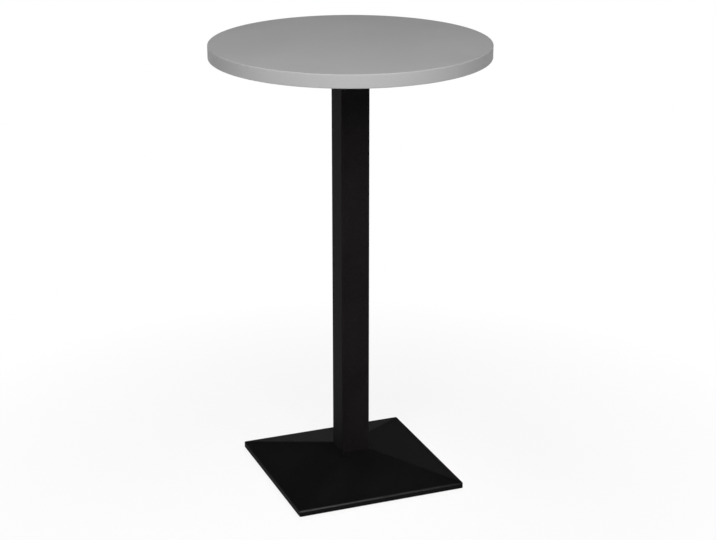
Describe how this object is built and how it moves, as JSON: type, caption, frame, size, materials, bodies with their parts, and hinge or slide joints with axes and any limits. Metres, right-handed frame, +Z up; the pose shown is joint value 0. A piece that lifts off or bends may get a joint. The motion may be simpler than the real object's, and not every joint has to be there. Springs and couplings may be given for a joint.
{
  "type": "bar table",
  "caption": "Tall standing table: thick round laminated top on a square tube column and a low pyramid base with screw feet for levelling.",
  "frame": {"origin": "on the floor, under the middle of the column, with the feet screwed right in", "axes": "+Z up along the column; +X and +Y square to the sides of the base"},
  "size_m": [0.7, 0.7, 1.15],
  "materials": {
    "grey_laminate": "matt fine grain",
    "grey_edge": "satin",
    "grey_backing": "matt",
    "core_board": "raw chipboard",
    "black_column": "satin powder coat",
    "black_casting": "satin powder coat",
    "zinc_steel": "zinc plated",
    "black_nylon": "moulded"
  },
  "bodies": {
    "table": {"top_core": "core_board", "top_laminate": "grey_laminate", "underside_laminate": "grey_backing", "edge_band": "grey_edge", "top_screws": "zinc_steel", "spider": "black_casting", "column_tube": "black_column", "base_casting": "black_casting", "tie_rod": "zinc_steel", "upper_nut": "zinc_steel", "upper_washer": "zinc_steel", "lower_nut": "zinc_steel", "spring_washer": "zinc_steel", "broad_washer": "zinc_steel"},
    "pad_front_left": {"foot_pad_front_left": "black_nylon"},
    "stud_front_left": {"foot_stud_front_left": "zinc_steel"},
    "pad_front_right": {"foot_pad_front_right": "black_nylon"},
    "stud_front_right": {"foot_stud_front_right": "zinc_steel"},
    "pad_back_right": {"foot_pad_back_right": "black_nylon"},
    "stud_back_right": {"foot_stud_back_right": "zinc_steel"},
    "pad_back_left": {"foot_pad_back_left": "black_nylon"},
    "stud_back_left": {"foot_stud_back_left": "zinc_steel"}
  },
  "joints": [
    {"name": "foot_lift_front_left", "type": "slide", "parent": "table", "child": "pad_front_left", "axis": [0, 0, -1], "range_m": [0, 0.01]},
    {"name": "foot_screw_front_left", "type": "hinge", "parent": "pad_front_left", "child": "stud_front_left", "pos_m": [-0.175, -0.175, 0], "axis": [0, 0, -1], "range_deg": [0, 2880]},
    {"name": "foot_lift_front_right", "type": "slide", "parent": "table", "child": "pad_front_right", "axis": [0, 0, -1], "range_m": [0, 0.01]},
    {"name": "foot_screw_front_right", "type": "hinge", "parent": "pad_front_right", "child": "stud_front_right", "pos_m": [0.175, -0.175, 0], "axis": [0, 0, -1], "range_deg": [0, 2880]},
    {"name": "foot_lift_back_right", "type": "slide", "parent": "table", "child": "pad_back_right", "axis": [0, 0, -1], "range_m": [0, 0.01]},
    {"name": "foot_screw_back_right", "type": "hinge", "parent": "pad_back_right", "child": "stud_back_right", "pos_m": [0.175, 0.175, 0], "axis": [0, 0, -1], "range_deg": [0, 2880]},
    {"name": "foot_lift_back_left", "type": "slide", "parent": "table", "child": "pad_back_left", "axis": [0, 0, -1], "range_m": [0, 0.01]},
    {"name": "foot_screw_back_left", "type": "hinge", "parent": "pad_back_left", "child": "stud_back_left", "pos_m": [-0.175, 0.175, 0], "axis": [0, 0, -1], "range_deg": [0, 2880]}
  ],
  "couplings": [
    {"joint": "foot_lift_front_left", "follows": "foot_screw_front_left", "m_per_rad": 0.00019894},
    {"joint": "foot_lift_front_right", "follows": "foot_screw_front_right", "m_per_rad": 0.00019894},
    {"joint": "foot_lift_back_right", "follows": "foot_screw_back_right", "m_per_rad": 0.00019894},
    {"joint": "foot_lift_back_left", "follows": "foot_screw_back_left", "m_per_rad": 0.00019894}
  ]
}
